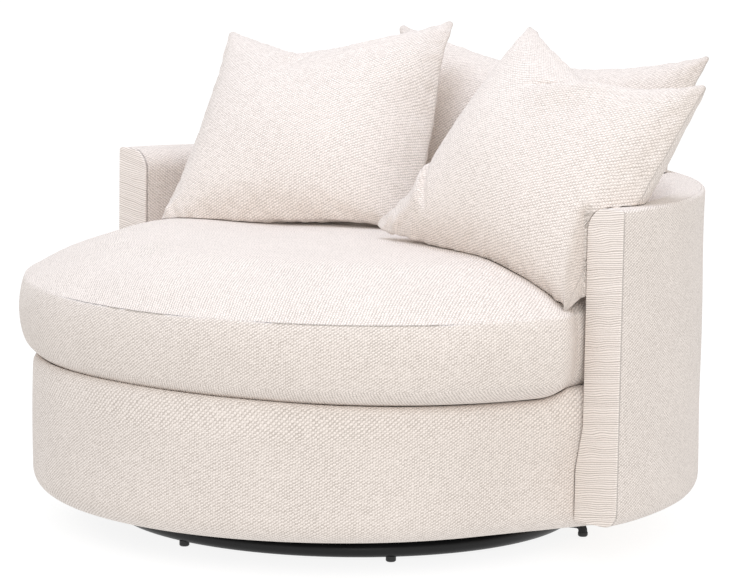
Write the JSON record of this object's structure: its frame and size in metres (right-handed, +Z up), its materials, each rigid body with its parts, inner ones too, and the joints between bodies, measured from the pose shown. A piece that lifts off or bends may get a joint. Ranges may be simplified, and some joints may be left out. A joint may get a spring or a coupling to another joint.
{
  "type": "cuddle chair",
  "caption": "Wide round swivel lounge chair with a half-round back, a drum seat under a round crowned cushion, loose pillows and a low steel ring base.",
  "frame": {"origin": "on the floor, under the middle of the whole chair's box", "axes": "+X to the right of a person who looks at the chair from the front, -Y to its open front, +Z up"},
  "size_m": [1.3114, 1.21, 0.8932],
  "materials": {
    "cover_fabric": "matte",
    "pillow_fabric": "matte",
    "deck_foam": "matte",
    "dust_cloth": "matte",
    "webbing": "matte",
    "timber": "matte",
    "hardboard": "matte",
    "black_steel": "gloss",
    "bright_steel": "satin",
    "black_plastic": "matte"
  },
  "bodies": {
    "swivel_base": {"floor_ring": "black_steel", "cross_bar": "black_steel", "half_bar_back": "black_steel", "half_bar_front": "black_steel", "glide_1": "black_plastic", "glide_2": "black_plastic", "glide_3": "black_plastic", "glide_4": "black_plastic", "outrigger_1": "black_steel", "outrigger_tip_1": "black_plastic", "outrigger_2": "black_steel", "outrigger_tip_2": "black_plastic", "lower_plate": "black_steel", "lower_race": "bright_steel", "lower_bolt_1": "bright_steel", "lower_bolt_2": "bright_steel", "lower_bolt_3": "bright_steel", "lower_bolt_4": "bright_steel", "ball_cage": "bright_steel"},
    "chair": {"upper_race": "bright_steel", "upper_plate": "black_steel", "upper_bolt_1": "bright_steel", "upper_bolt_2": "bright_steel", "upper_bolt_3": "bright_steel", "upper_bolt_4": "bright_steel", "seat_panel": "timber", "barrel_panel": "timber", "seat_stud_1": "timber", "seat_stud_2": "timber", "seat_stud_3": "timber", "seat_stud_4": "timber", "seat_rail": "timber", "seat_strap_1": "webbing", "seat_strap_2": "webbing", "seat_strap_3": "webbing", "cross_strap_1": "webbing", "cross_strap_2": "webbing", "cross_strap_3": "webbing", "deck_pad": "deck_foam", "seat_base_cover": "cover_fabric", "dust_cover": "dust_cloth", "barrel_stud_1": "timber", "barrel_stud_2": "timber", "barrel_stud_3": "timber", "arm_post_right": "timber", "arm_post_left": "timber", "inner_skin": "hardboard", "outer_skin": "hardboard", "barrel_rail": "timber", "inside_cover": "cover_fabric", "outside_cover": "cover_fabric", "arm_front_right": "cover_fabric", "arm_front_left": "cover_fabric", "seat_cushion": "cover_fabric", "right_pillow": "pillow_fabric", "left_pillow": "pillow_fabric", "back_pillow": "pillow_fabric"}
  },
  "joints": [
    {"name": "swivel", "type": "hinge", "parent": "swivel_base", "child": "chair", "pos_m": [0, -0.021, 0.049], "axis": [0, 0, 1], "continuous": true}
  ]
}
